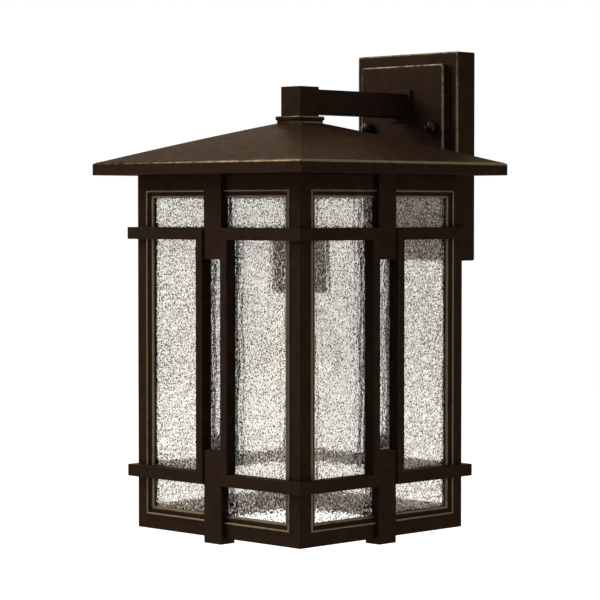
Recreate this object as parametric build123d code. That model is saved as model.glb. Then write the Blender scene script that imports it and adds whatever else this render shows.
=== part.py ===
from build123d import *

import os
from math import cos, radians, sin, sqrt

# Outdoor wall lantern: a square cast lantern with a low hipped roof, hung from a short square arm
# on a wall plate.  Millimetres.  The origin is the middle of the two box screws on the wall plane,
# +Z is up and the wall's room side is -Y, so every piece lies at y < 0.

# ---- overall sizes -------------------------------------------------------------------------------
PROJECTION = 144.2          # lantern axis to the wall
BODY_WIDTH = 178.4          # over the flat stiles
BODY_HEIGHT = 273.8         # bottom rail to soffit
ROOF_WIDTH = 228.6          # 9 in over the fascia
FASCIA_HEIGHT = 9.0
ROOF_RISE = 31.4            # eave edge to the collar
ROOF_BULGE = 0.7            # how far each slope bows out of a straight line

# ---- cast side frames ----------------------------------------------------------------------------
STILE_WIDTH = 10.9
TOP_RAIL = 11.8
BOTTOM_RAIL = 11.3
RIDGE_WIDTH = 1.3
RIDGE_STAND = 1.3
LEDGE_WIDTH = 4.6
LEDGE_DROP = 0.8
LIP_BACK = 4.0              # stile face to the outer face of the pane
PANE_THICKNESS = 3.0
PANE_OVERLAP = 5.0          # pane edge behind the lip
PANE_CLEARANCE = 0.3

# ---- cage round the body -------------------------------------------------------------------------
CAGE_STAND = 5.6            # cage front proud of the stiles
CAGE_BACK_GAP = 0.5         # cage and strap backs clear of the pane
BAND_HEIGHT = 9.3
LOWER_BAND_Z = 39.9         # its bottom above the bottom rail's
UPPER_BAND_DROP = 40.0      # its top below the soffit
BAR_WIDTH = 7.3
STRAP_WIDTH = 19.1
STRAP_STAND = 4.0
STRAP_SIDE_GAP = 0.2
UPPER_STRAP_LENGTH = 63.9
LOWER_STRAP_RISE = 66.3     # its top above the bottom rail's bottom
FOOT_DROP = 4.3
FOOT_REACH = 10.0           # foot's back behind the stile face
RIDGE_RELIEF = 0.15         # clearance of cage and straps round the moulding

# ---- small fasteners of the body -----------------------------------------------------------------
SCREW_R = 1.5
SCREW_HEAD_R = 2.7
SCREW_HEAD_HEIGHT = 1.8
SCREW_CLEARANCE = 0.1
SCREW_BITE = 2.6            # reach into the strap or the cage
CORNER_BLOCK_LEG = 9.5
CORNER_BLOCK_HEIGHT = 16.0
BODY_SCREW_X = 45.0
BODY_SCREW_BITE = 8.0

# ---- roof, soffit pan and hub --------------------------------------------------------------------
FASCIA_WALL = 3.0
ROOF_WALL = 2.5
PAN_LEDGE = 2.5             # shelf inside the fascia that the pan bears on
PAN_THICKNESS = 1.6
PAN_CLEARANCE = 0.3
COLLAR_WIDTH = 27.2
COLLAR_STEP = 0.8
COLLAR_STEP_HEIGHT = 2.3
COLLAR_LIP_HEIGHT = 3.0
HUB_WIDTH = 21.1
HUB_HEIGHT = 23.0
HUB_CHAMBER = 13.0
TUBE_BITE = 6.0             # thread length of nipple and rod in the hub block

# ---- threaded tubes and their nuts ---------------------------------------------------------------
TUBE_R = 5.15
TUBE_BORE_R = 3.45
THREAD_CLEARANCE = 0.05
TUBE_NUT_FLATS = 14.3
TUBE_NUT_HEIGHT = 3.2
TUBE_END = 2.5              # tube end past its nut
WASHER_R = 10.0
WASHER_THICKNESS = 1.2

# ---- arm and wall plate --------------------------------------------------------------------------
ARM_Z = 17.9                # arm centre above the box screws
ARM_WIDTH = 16.0
ARM_HEIGHT = 19.3
ARM_WALL = 2.0
FLANGE_WIDTH = 22.8
FLANGE_HEIGHT = 26.0
FLANGE_THICKNESS = 2.0
PLATE_WIDTH = 108.6
PLATE_TOP = 60.1
PLATE_BOTTOM = -106.8
PLATE_DEPTH = 21.4
PLATE_WALL = 2.2
PANEL_MARGIN = 9.6
PANEL_STAND = 6.3

# ---- mounting bar, studs and cap nuts ------------------------------------------------------------
BOX_SCREW_SPACING = 88.9    # 3 1/2 in junction box
BOX_SCREW_HOLE_R = 2.3
BAR_LENGTH = 100.0
BAR_HEIGHT = 18.0
BAR_THICKNESS = 2.0
BAR_CENTRE_HOLE_R = 5.5
STUD_SPACING = 69.85        # 2 3/4 in
STUD_R = 2.085              # No. 8-32
STUD_HOLE_GAP = 0.3
LOCK_NUT_FLATS = 8.7
LOCK_NUT_HEIGHT = 3.1
GROUND_SCREW_X = 16.0
GROUND_SCREW_FLATS = 8.0
GROUND_SCREW_HEIGHT = 3.0
CAP_NUT_R = 5.0
CAP_NUT_SKIRT = 2.6         # straight part under the dome
CAP_NUT_RUNNING_FIT = 0.08
CAP_NUT_DEPTH = 5.6
CAP_NUT_END_GAP = 0.6
CAP_NUT_SLOT_WIDTH = 1.2
CAP_NUT_SLOT_DEPTH = 1.6
CAP_WASHER_R = 5.4
CAP_WASHER_THICKNESS = 0.8
CAP_GAP = 0.1               # between cap nut, washer and plate

# ---- lamp holder and bulb ------------------------------------------------------------------------
CUP_R = 21.4
CUP_WALL = 1.2
CUP_HEIGHT = 44.7
CUP_DROP = 46.4             # its top below the soffit
PORCELAIN_GAP = 0.3
PORCELAIN_RIM = 7.0         # porcelain's mouth above the cup's rim
PORCELAIN_FLOOR = 5.0
RECESS_AIR = 2.0            # tube end to the recess's floor
SHELL_R = 13.9
SHELL_WALL = 0.5
SHELL_GAP = 0.2
CONTACT_TAB_R = 5.0
CONTACT_TAB_THICKNESS = 1.0
BASE_R = 13.0               # E26 lamp base
BASE_WALL = 0.4
BASE_LENGTH = 24.0
INSULATOR_LENGTH = 1.9
CONTACT_R = 4.2
CONTACT_LENGTH = 1.0
BODY_GAP = 0.3              # between the bulb and the holder
BULB_R = 30.0               # A19 envelope
BULB_GLASS_LENGTH = 79.2    # envelope's end to the base's rim
BULB_WALL = 0.8
BULB_SHOULDER = 35.0        # degrees above the equator where the neck begins
NECK_BITE = 4.0
NECK_GAP = 0.3              # envelope's neck inside the base, and the stem's flare inside the neck
STEM_R = 4.5
STEM_TIP_R = 2.2
FLARE_LENGTH = 6.0
STEM_LENGTH = 34.0
SUPPORT_R = 0.35
SUPPORT_LENGTH = 12.0
SUPPORT_SPREAD = 13.0
FILAMENT_R = 0.3

# ---- leads ---------------------------------------------------------------------------------------
LEAD_R = 0.9
LEAD_OFFSET = 1.6
LEAD_BEND = 7.0
LEAD_TAIL = 8.0             # past the rod's end, inside the wall plate

# ---- levels and depths that follow from the sizes ------------------------------------------------
half_body = BODY_WIDTH / 2
half_roof = ROOF_WIDTH / 2
hub_bottom = ARM_Z - HUB_HEIGHT / 2
collar_bottom = hub_bottom - COLLAR_LIP_HEIGHT - COLLAR_STEP_HEIGHT
eave_top = collar_bottom - ROOF_RISE
soffit = eave_top - FASCIA_HEIGHT
body_bottom = soffit - BODY_HEIGHT
frame_depth = LIP_BACK + PANE_THICKNESS
lip_inset = RIDGE_WIDTH + LEDGE_WIDTH
cage_back = LIP_BACK - CAGE_BACK_GAP
bar_inner = STRAP_WIDTH / 2 + STRAP_SIDE_GAP
lower_band = body_bottom + LOWER_BAND_Z
upper_band = soffit - UPPER_BAND_DROP - BAND_HEIGHT
hub_back = -PROJECTION + HUB_WIDTH / 2
panel_front = -PLATE_DEPTH - PANEL_STAND
panel_back = panel_front + PLATE_WALL
pan_top = soffit + PAN_THICKNESS
cup_top = soffit - CUP_DROP
cup_rim = cup_top - CUP_HEIGHT
porcelain_top = cup_top - CUP_WALL
recess_floor = porcelain_top - TUBE_NUT_HEIGHT - TUBE_END - RECESS_AIR
shell_floor = recess_floor - PORCELAIN_FLOOR
contact_tip = shell_floor - CONTACT_TAB_THICKNESS - BODY_GAP
base_top = contact_tip - CONTACT_LENGTH - INSULATOR_LENGTH - CAP_GAP
base_rim = base_top - BASE_LENGTH
bulb_centre = base_rim - BULB_GLASS_LENGTH + BULB_R

LANTERN = Pos(0, -PROJECTION, 0)
SIDES = {"front": 0, "right": 90, "back": 180, "left": 270}
CORNERS = {"front_right": 0, "back_right": 90, "back_left": 180, "front_left": 270}


def span_box(x0, x1, y0, y1, z0, z1):
    """Box between two opposite corners."""
    middle = Pos((x0 + x1) / 2, (y0 + y1) / 2, (z0 + z1) / 2)
    return middle * Box(x1 - x0, y1 - y0, z1 - z0)


def upright(radius, z0, z1):
    """Cylinder on the lantern's axis between two heights."""
    return Pos(0, 0, (z0 + z1) / 2) * Cylinder(radius, z1 - z0)


def along_y(radius, y0, y1, x=0, z=0):
    """Cylinder that points at the wall, between two depths."""
    return Pos(x, (y0 + y1) / 2, z) * Rot(90, 0, 0) * Cylinder(radius, y1 - y0)


def hex_nut(flats, height):
    """Hexagonal prism over its flats, standing on z = 0."""
    return extrude(RegularPolygon(flats / 2, 6, major_radius=False), height)


def screw(length):
    """Pan-head screw: the head stands on z = 0 and the shank points down."""
    head = Pos(0, 0, SCREW_HEAD_HEIGHT / 2) * Cylinder(SCREW_HEAD_R, SCREW_HEAD_HEIGHT)
    return head + Pos(0, 0, -length / 2) * Cylinder(SCREW_R, length)


def screw_hole(length):
    """Clearance for the shank of a screw."""
    return Pos(0, 0, -length / 2) * Cylinder(SCREW_R + SCREW_CLEARANCE, length)


# ---- sides: drawn as the front one, about the lantern's axis ---------------------------------------
def face_box(half_width, low, high, back, front):
    """Box on the front face; back and front are depths measured out from the stile face."""
    return span_box(-half_width, half_width, -half_body - front, -half_body - back, low, high)


def inset_box(inset, back, front):
    """Box over the window, inset from the inner edges of the flat stiles and rails."""
    low = body_bottom + BOTTOM_RAIL + inset
    high = soffit - TOP_RAIL - inset
    return face_box(half_body - STILE_WIDTH - inset, low, high, back, front)


def moulding(clearance):
    """Stiles and rails with ridge and ledge, grown by a clearance round the raised moulding."""
    ring = face_box(half_body, body_bottom, soffit, -frame_depth, 0)
    ring += inset_box(-clearance, -LEDGE_DROP, RIDGE_STAND + clearance)
    ring -= inset_box(RIDGE_WIDTH + clearance, clearance - LEDGE_DROP, RIDGE_STAND + 2 * clearance + 1)
    return ring - inset_box(lip_inset + clearance, -frame_depth - 1, 1)


def strap_screw_places():
    """Middle of the top rail and of the bottom rail, from behind, as seats for a screw."""
    heights = (soffit - TOP_RAIL / 2, body_bottom + BOTTOM_RAIL / 2)
    return [Pos(0, frame_depth - half_body, z) * Rot(-90, 0, 0) for z in heights]


def body_screw_places():
    """Seats on top of the soffit pan, above the middle of the top rail's depth."""
    y = frame_depth / 2 - half_body
    return [Pos(x, y, pan_top) for x in (-BODY_SCREW_X, BODY_SCREW_X)]


def corner_screw_places():
    """Seats on the corner blocks of the front right corner, pointing out along the diagonal."""
    seat = half_body - frame_depth - CORNER_BLOCK_LEG / 2
    heights = (lower_band + BAND_HEIGHT / 2, upper_band + BAND_HEIGHT / 2)
    return [Pos(seat, -seat, z) * Rot(0, 0, -45) * Rot(0, -90, 0) for z in heights]


def diagonal_length():
    """Length of a corner screw: block, mitred frames and its bite in the cage."""
    return (CORNER_BLOCK_LEG / 2 + frame_depth + SCREW_BITE) * sqrt(2)


def frame():
    """Cast side frame, mitred at both ends, with a pocket behind its lip for the pane."""
    reach = half_body + RIDGE_STAND
    mitre = make_face(Polyline((0, 0), (reach, -reach), (-reach, -reach), close=True))
    wedge = Pos(0, 0, body_bottom) * extrude(mitre, BODY_HEIGHT)
    piece = moulding(0) & wedge
    piece -= inset_box(lip_inset - PANE_OVERLAP - PANE_CLEARANCE, -frame_depth, -LIP_BACK)
    for place in strap_screw_places():
        piece -= place * screw_hole(frame_depth)
    for place in body_screw_places():
        piece -= place * screw_hole(BODY_SCREW_BITE + PAN_THICKNESS)
    for turn in (0, -90):
        for place in corner_screw_places():
            piece -= Rot(0, 0, turn) * place * screw_hole(diagonal_length())
    return piece


def pane():
    """Flat glass pane."""
    return inset_box(lip_inset - PANE_OVERLAP, -frame_depth, -LIP_BACK)


def upper_strap():
    """Upright strap from the soffit down over the top rail and the pane."""
    low = soffit - UPPER_STRAP_LENGTH
    piece = face_box(STRAP_WIDTH / 2, low, soffit, -cage_back, STRAP_STAND) - moulding(RIDGE_RELIEF)
    return piece - strap_screw_places()[0] * screw_hole(frame_depth + SCREW_BITE)


def lower_strap():
    """Upright strap over the bottom rail, with a foot that turns in under the rail."""
    foot = body_bottom - FOOT_DROP
    piece = face_box(STRAP_WIDTH / 2, foot, body_bottom + LOWER_STRAP_RISE, -cage_back, STRAP_STAND)
    piece += face_box(STRAP_WIDTH / 2, foot, body_bottom, -FOOT_REACH, STRAP_STAND)
    piece -= moulding(RIDGE_RELIEF)
    return piece - strap_screw_places()[1] * screw_hole(frame_depth + SCREW_BITE)


def cage_half():
    """Front half of the front right corner unit: two bands and the bar that joins them."""
    outer = half_body + CAGE_STAND
    inner = half_body - cage_back
    top = upper_band + BAND_HEIGHT
    bar = span_box(bar_inner, bar_inner + BAR_WIDTH, -outer, -inner, lower_band, top)
    bands = [span_box(bar_inner, outer, -outer, -inner, z, z + BAND_HEIGHT)
             for z in (lower_band, upper_band)]
    return bar + bands


def cage():
    """Corner unit of the cage, bent round the front right corner and seated on the stiles."""
    diagonal = Plane(origin=(0, 0, 0), z_dir=(1, 1, 0))
    half = cage_half()
    piece = half + mirror(half, about=diagonal)
    for turn in (0, 90):
        piece -= Rot(0, 0, turn) * moulding(RIDGE_RELIEF)
    for place in corner_screw_places():
        piece -= place * screw_hole(diagonal_length())
    return piece


def corner_blocks():
    """Triangular blocks behind the four mitres, level with the bands."""
    vertex = half_body - frame_depth
    leg = vertex - CORNER_BLOCK_LEG
    outline = make_face(Polyline((vertex, -vertex), (leg, -vertex), (vertex, -leg), close=True))
    blocks = []
    for place in corner_screw_places():
        height = place.position.Z - CORNER_BLOCK_HEIGHT / 2
        block = Pos(0, 0, height) * extrude(outline, CORNER_BLOCK_HEIGHT)
        block -= place * screw_hole(diagonal_length())
        blocks += [Rot(0, 0, turn) * block for turn in CORNERS.values()]
    return blocks


def corner_screws():
    """Screws that draw block, frames and cage together at each corner."""
    return [Rot(0, 0, turn) * place * screw(diagonal_length())
            for turn in CORNERS.values() for place in corner_screw_places()]


def strap_screws():
    """Screws that hold the straps to the rails."""
    return [Rot(0, 0, turn) * place * screw(frame_depth + SCREW_BITE)
            for turn in SIDES.values() for place in strap_screw_places()]


def body_screws():
    """Screws that hang the four frames from the soffit pan."""
    return [Rot(0, 0, turn) * place * screw(BODY_SCREW_BITE + PAN_THICKNESS)
            for turn in SIDES.values() for place in body_screw_places()]


# ---- roof, soffit pan and hub ---------------------------------------------------------------------
def hipped(half_width, edge_z, crown_half, crown_z, floor_z):
    """Square block under four bowed slopes: two crossed prisms of the same outline."""
    middle = ((half_width + crown_half) / 2, (edge_z + crown_z) / 2 + ROOF_BULGE)
    mirrored = (-middle[0], middle[1])
    outline = Line((-half_width, edge_z), (-half_width, floor_z))
    outline += Line((-half_width, floor_z), (half_width, floor_z))
    outline += Line((half_width, floor_z), (half_width, edge_z))
    outline += ThreePointArc((half_width, edge_z), middle, (crown_half, crown_z))
    outline += Line((crown_half, crown_z), (-crown_half, crown_z))
    outline += ThreePointArc((-crown_half, crown_z), mirrored, (-half_width, edge_z))
    prism = extrude(Plane.XZ * make_face(outline), half_width, both=True)
    return prism & Rot(0, 0, 90) * prism


def roof():
    """Cast hipped roof with its fascia, hollow below, with a shelf for the soffit pan."""
    crown_half = COLLAR_WIDTH / 2 - COLLAR_STEP
    room = half_roof - FASCIA_WALL
    piece = hipped(half_roof, eave_top, crown_half, collar_bottom, soffit)
    piece -= span_box(-room, room, -room, room, soffit, pan_top)
    inner = room - PAN_LEDGE
    piece -= hipped(inner, eave_top - ROOF_WALL / 2, crown_half, collar_bottom - ROOF_WALL, pan_top)
    return piece - upright(TUBE_R + SCREW_CLEARANCE, eave_top, collar_bottom)


def soffit_pan():
    """Flat plate that closes the roof and carries the body."""
    half = half_roof - FASCIA_WALL - PAN_CLEARANCE
    piece = span_box(-half, half, -half, half, soffit, pan_top)
    piece -= upright(TUBE_R + SCREW_CLEARANCE, soffit, pan_top)
    for turn in SIDES.values():
        for place in body_screw_places():
            piece -= Rot(0, 0, turn) * place * screw_hole(PAN_THICKNESS)
    return piece


def hub_collar():
    """Square stepped collar between roof and hub block."""
    lip = COLLAR_WIDTH / 2
    step = lip - COLLAR_STEP
    shoulder = collar_bottom + COLLAR_STEP_HEIGHT
    piece = span_box(-step, step, -step, step, collar_bottom, shoulder)
    piece += span_box(-lip, lip, -lip, lip, shoulder, hub_bottom)
    return piece - upright(TUBE_R + SCREW_CLEARANCE, collar_bottom, hub_bottom)


def hub_block():
    """Square block that turns the wiring from the arm down into the lantern."""
    half = HUB_WIDTH / 2
    chamber = HUB_CHAMBER / 2
    piece = span_box(-half, half, -half, half, hub_bottom, hub_bottom + HUB_HEIGHT)
    piece -= span_box(-chamber, chamber, -chamber, chamber, hub_bottom + TUBE_BITE, ARM_Z + chamber)
    piece -= upright(TUBE_R + THREAD_CLEARANCE, hub_bottom, ARM_Z)
    return piece - along_y(TUBE_R + THREAD_CLEARANCE, 0, half, z=ARM_Z)


def nipple():
    """Hollow threaded tube from the hub block down to the lamp holder's cup."""
    low = porcelain_top - TUBE_NUT_HEIGHT - TUBE_END
    high = hub_bottom + TUBE_BITE
    return upright(TUBE_R, low, high) - upright(TUBE_BORE_R, low, high)


def tube_washer(top):
    """Washer on the nipple, under a plate whose lower face is at the given height."""
    low = top - WASHER_THICKNESS
    return upright(WASHER_R, low, top) - upright(TUBE_R + SCREW_CLEARANCE, low, top)


def tube_nut(top):
    """Hexagonal nut on the nipple, its upper face at the given height."""
    low = top - TUBE_NUT_HEIGHT
    nut = Pos(0, 0, low) * hex_nut(TUBE_NUT_FLATS, TUBE_NUT_HEIGHT)
    return nut - upright(TUBE_R + THREAD_CLEARANCE, low, top)


# ---- lamp holder and bulb -------------------------------------------------------------------------
def socket_cup():
    """Spun cup that hides the porcelain holder, open downwards."""
    piece = upright(CUP_R, cup_rim, cup_top)
    piece -= upright(CUP_R - CUP_WALL, cup_rim, porcelain_top)
    return piece - upright(TUBE_R + SCREW_CLEARANCE, porcelain_top, cup_top)


def socket_body():
    """Porcelain holder: a bore for the screw shell below, a recess for the nut above."""
    low = cup_rim + PORCELAIN_RIM
    piece = upright(CUP_R - CUP_WALL - PORCELAIN_GAP, low, porcelain_top)
    piece -= upright(SHELL_R + SHELL_GAP, low, shell_floor)
    recess = TUBE_NUT_FLATS / sqrt(3) + SCREW_CLEARANCE
    return piece - upright(recess, recess_floor, porcelain_top)


def socket_shell():
    """Brass screw shell, with a rim that bears on the porcelain's mouth."""
    mouth = cup_rim + PORCELAIN_RIM
    top = contact_tip - CONTACT_LENGTH
    bore = SHELL_R - SHELL_WALL
    piece = upright(SHELL_R, mouth, top)
    piece += upright(SHELL_R + 2 * SHELL_GAP + SHELL_WALL, mouth - SHELL_WALL, mouth)
    return piece - upright(bore, mouth - SHELL_WALL, top)


def socket_contact():
    """Centre contact tab under the porcelain's floor."""
    return upright(CONTACT_TAB_R, shell_floor - CONTACT_TAB_THICKNESS, shell_floor)


def bulb_outline(inset):
    """Half outline of the envelope: a ball that runs tangent into the neck."""
    radius = BULB_R - inset
    shoulder = radians(BULB_SHOULDER)
    top = base_rim + NECK_BITE
    neck = BASE_R - BASE_WALL - NECK_GAP - inset
    joint = (radius * cos(shoulder), bulb_centre + radius * sin(shoulder))
    ball = ThreePointArc((0, bulb_centre - radius), (radius * cos(-shoulder), bulb_centre
                         + radius * sin(-shoulder)), joint)
    throat = TangentArc(joint, (neck, base_rim), tangent=(-sin(shoulder), cos(shoulder)))
    ends = Line((neck, base_rim), (neck, top)) + Line((neck, top), (0, top))
    axis = Line((0, top), (0, bulb_centre - radius))
    return revolve(Plane.XZ * make_face(ball + throat + ends + axis), Axis.Z)


def bulb_glass():
    """Blown glass envelope."""
    return bulb_outline(0) - bulb_outline(BULB_WALL)


def bulb_base():
    """Screw base of the bulb, a thin shell with a turned-in end."""
    bore = BASE_R - BASE_WALL
    return upright(BASE_R, base_rim, base_top) - upright(bore, base_rim, base_top - BASE_WALL)


def bulb_contact():
    """Insulator disc and centre contact at the base's end."""
    low = base_top + CAP_GAP
    tip = low + INSULATOR_LENGTH
    cone = Pos(0, 0, (low + tip) / 2) * Cone(BASE_R - 2 * BASE_WALL, CONTACT_R + 1, INSULATOR_LENGTH)
    return [cone, upright(CONTACT_R, tip, tip + CONTACT_LENGTH)]


def bulb_stem():
    """Glass stem, drawn out to a tip below and flared above to meet the neck."""
    high = base_rim + NECK_BITE
    flare = BASE_R - BASE_WALL - NECK_GAP - BULB_WALL - NECK_GAP
    piece = Pos(0, 0, high - STEM_LENGTH / 2) * Cone(STEM_TIP_R, STEM_R, STEM_LENGTH)
    return piece + Pos(0, 0, high - FLARE_LENGTH / 2) * Cone(STEM_R / 2, flare, FLARE_LENGTH)


def bulb_supports():
    """Two wires that spread from the stem's tip to the filament's ends."""
    tip = base_rim + NECK_BITE - STEM_LENGTH
    wires = []
    for side in (-1, 1):
        start = Vector(side * (STEM_TIP_R - SUPPORT_R), 0, tip)
        end = Vector(side * SUPPORT_SPREAD, 0, tip - SUPPORT_LENGTH)
        run = Plane(origin=start, z_dir=end - start)
        wire = extrude(run * Circle(SUPPORT_R), (end - start).length)
        wires.append(wire - upright(STEM_R, tip, tip + STEM_LENGTH))
    return wires


def bulb_filament():
    """Filament bowed down between the wires' ends."""
    level = base_rim + NECK_BITE - STEM_LENGTH - SUPPORT_LENGTH - FILAMENT_R - SUPPORT_R
    ends = SUPPORT_SPREAD
    path = ThreePointArc((-ends, 0, level), (0, 0, level - SUPPORT_LENGTH / 3), (ends, 0, level))
    return sweep(Plane(origin=path @ 0, z_dir=path % 0) * Circle(FILAMENT_R), path)


# ---- arm, wall plate and mounting -----------------------------------------------------------------
def arm():
    """Rectangular tube from the hub block to the flange, in the wall's frame."""
    y1 = panel_front - FLANGE_THICKNESS
    half_w, half_h = ARM_WIDTH / 2, ARM_HEIGHT / 2
    piece = span_box(-half_w, half_w, hub_back, y1, ARM_Z - half_h, ARM_Z + half_h)
    side_wall = min(ARM_WALL, half_w - TUBE_R - SCREW_CLEARANCE)  # the rod passes between the side walls
    half_w, half_h = half_w - side_wall, half_h - ARM_WALL
    return piece - span_box(-half_w, half_w, hub_back, y1, ARM_Z - half_h, ARM_Z + half_h)


def arm_flange():
    """Thin flange between arm and wall plate."""
    half_w, half_h = FLANGE_WIDTH / 2, FLANGE_HEIGHT / 2
    y0 = panel_front - FLANGE_THICKNESS
    piece = span_box(-half_w, half_w, y0, panel_front, ARM_Z - half_h, ARM_Z + half_h)
    return piece - along_y(TUBE_R + SCREW_CLEARANCE, y0, panel_front, z=ARM_Z)


def arm_rod_end():
    """Depth of the rod's rear end, past its nut inside the plate."""
    return panel_back + WASHER_THICKNESS + TUBE_NUT_HEIGHT + TUBE_END


def arm_rod():
    """Hollow threaded tube that draws hub block, arm and wall plate together."""
    y0, y1 = hub_back - HUB_WIDTH / 2 + HUB_CHAMBER / 2, arm_rod_end()
    return along_y(TUBE_R, y0, y1, z=ARM_Z) - along_y(TUBE_BORE_R, y0, y1, z=ARM_Z)


def arm_rod_washer():
    """Washer behind the wall plate."""
    y1 = panel_back + WASHER_THICKNESS
    piece = along_y(WASHER_R, panel_back, y1, z=ARM_Z)
    return piece - along_y(TUBE_R + SCREW_CLEARANCE, panel_back, y1, z=ARM_Z)


def arm_rod_nut():
    """Nut behind that washer."""
    y0 = panel_back + WASHER_THICKNESS
    y1 = y0 + TUBE_NUT_HEIGHT
    nut = Pos(0, y1, ARM_Z) * Rot(90, 0, 0) * hex_nut(TUBE_NUT_FLATS, TUBE_NUT_HEIGHT)
    return nut - along_y(TUBE_R + THREAD_CLEARANCE, y0, y1, z=ARM_Z)


def plate_block(inset, front, back):
    """Block over the wall plate's outline, drawn in by an inset, between two depths."""
    half = PLATE_WIDTH / 2 - inset
    return span_box(-half, half, front, back, PLATE_BOTTOM + inset, PLATE_TOP - inset)


def wall_plate():
    """Cast wall plate: a hollow box with a raised panel, open to the wall."""
    piece = plate_block(0, -PLATE_DEPTH, 0) + plate_block(PANEL_MARGIN, panel_front, 0)
    piece -= plate_block(PLATE_WALL, -PLATE_DEPTH + PLATE_WALL, 0)
    piece -= plate_block(PANEL_MARGIN + PLATE_WALL, panel_back, 0)
    for x in stud_places():
        piece -= along_y(STUD_R + STUD_HOLE_GAP, panel_front, panel_back, x=x)
    return piece - along_y(TUBE_R + SCREW_CLEARANCE, panel_front, panel_back, z=ARM_Z)


def stud_places():
    """Left and right stud, by their x."""
    return (-STUD_SPACING / 2, STUD_SPACING / 2)


def mounting_bar():
    """Steel crossbar screwed to the junction box."""
    half_l, half_h = BAR_LENGTH / 2, BAR_HEIGHT / 2
    piece = span_box(-half_l, half_l, -BAR_THICKNESS, 0, -half_h, half_h)
    for x in (-BOX_SCREW_SPACING / 2, BOX_SCREW_SPACING / 2):
        piece -= along_y(BOX_SCREW_HOLE_R, -BAR_THICKNESS, 0, x=x)
    for x in stud_places():
        piece -= along_y(STUD_R + THREAD_CLEARANCE, -BAR_THICKNESS, 0, x=x)
    piece -= along_y(BAR_CENTRE_HOLE_R, -BAR_THICKNESS, 0)
    return piece - along_y(SCREW_R + THREAD_CLEARANCE, -BAR_THICKNESS, 0, x=GROUND_SCREW_X)


def cap_seat():
    """Depth of the face of a cap nut that bears on its washer."""
    return panel_front - CAP_GAP - CAP_WASHER_THICKNESS - CAP_GAP


def mounting_studs():
    """Threaded studs from the bar out into the cap nuts."""
    y0 = cap_seat() - CAP_NUT_DEPTH + CAP_NUT_END_GAP
    return [along_y(STUD_R, y0, 0, x=x) for x in stud_places()]


def stud_lock_nuts():
    """Nuts that lock the studs against the bar."""
    y0 = -BAR_THICKNESS - LOCK_NUT_HEIGHT
    nuts = []
    for x in stud_places():
        nut = Pos(x, -BAR_THICKNESS, 0) * Rot(90, 0, 0) * hex_nut(LOCK_NUT_FLATS, LOCK_NUT_HEIGHT)
        nuts.append(nut - along_y(STUD_R + THREAD_CLEARANCE, y0, -BAR_THICKNESS, x=x))
    return nuts


def ground_screw():
    """Hexagon-headed earth screw in the bar."""
    seat = Pos(GROUND_SCREW_X, -BAR_THICKNESS, 0)
    head = seat * Rot(90, 0, 0) * hex_nut(GROUND_SCREW_FLATS, GROUND_SCREW_HEIGHT)
    return head + along_y(SCREW_R, -BAR_THICKNESS, 0, x=GROUND_SCREW_X)


def cap_nut(x):
    """Domed, slotted cap nut with a blind thread."""
    seat = cap_seat()
    crown = seat - CAP_NUT_SKIRT
    piece = along_y(CAP_NUT_R, crown, seat, x=x)
    dome = Pos(x, crown, 0) * Sphere(CAP_NUT_R)
    piece += dome & span_box(x - CAP_NUT_R, x + CAP_NUT_R, crown - CAP_NUT_R, crown, -CAP_NUT_R, CAP_NUT_R)
    piece -= along_y(STUD_R + CAP_NUT_RUNNING_FIT, seat - CAP_NUT_DEPTH, seat, x=x)
    top, half_slot = crown - CAP_NUT_R, CAP_NUT_SLOT_WIDTH / 2
    return piece - span_box(x - half_slot, x + half_slot, top, top + CAP_NUT_SLOT_DEPTH,
                            -CAP_NUT_R, CAP_NUT_R)


def cap_washer(x):
    """Plain washer under a cap nut."""
    y1 = panel_front - CAP_GAP
    y0 = y1 - CAP_WASHER_THICKNESS
    return along_y(CAP_WASHER_R, y0, y1, x=x) - along_y(STUD_R + STUD_HOLE_GAP, y0, y1, x=x)


def lead(side):
    """Insulated lead through rod, hub block and nipple, from the wall plate to the holder."""
    x = side * LEAD_OFFSET
    tail = (x, arm_rod_end() + LEAD_TAIL, ARM_Z)
    bend = (x, -PROJECTION, ARM_Z)
    path = FilletPolyline(tail, bend, (x, -PROJECTION, recess_floor), radius=LEAD_BEND)
    return sweep(Plane(origin=tail, z_dir=(0, -1, 0)) * Circle(LEAD_R), path)


# ---- every node, in the wall's frame --------------------------------------------------------------
def turned(piece, turns, stem):
    """One node for each side or corner, named after it."""
    return {f"{stem}_{name}": LANTERN * Rot(0, 0, turn) * piece for name, turn in turns.items()}


def hung(pieces):
    """Moves a piece, or a list of pieces, from the lantern's axis to its place before the wall."""
    if isinstance(pieces, list):
        return [LANTERN * piece for piece in pieces]
    return LANTERN * pieces


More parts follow.
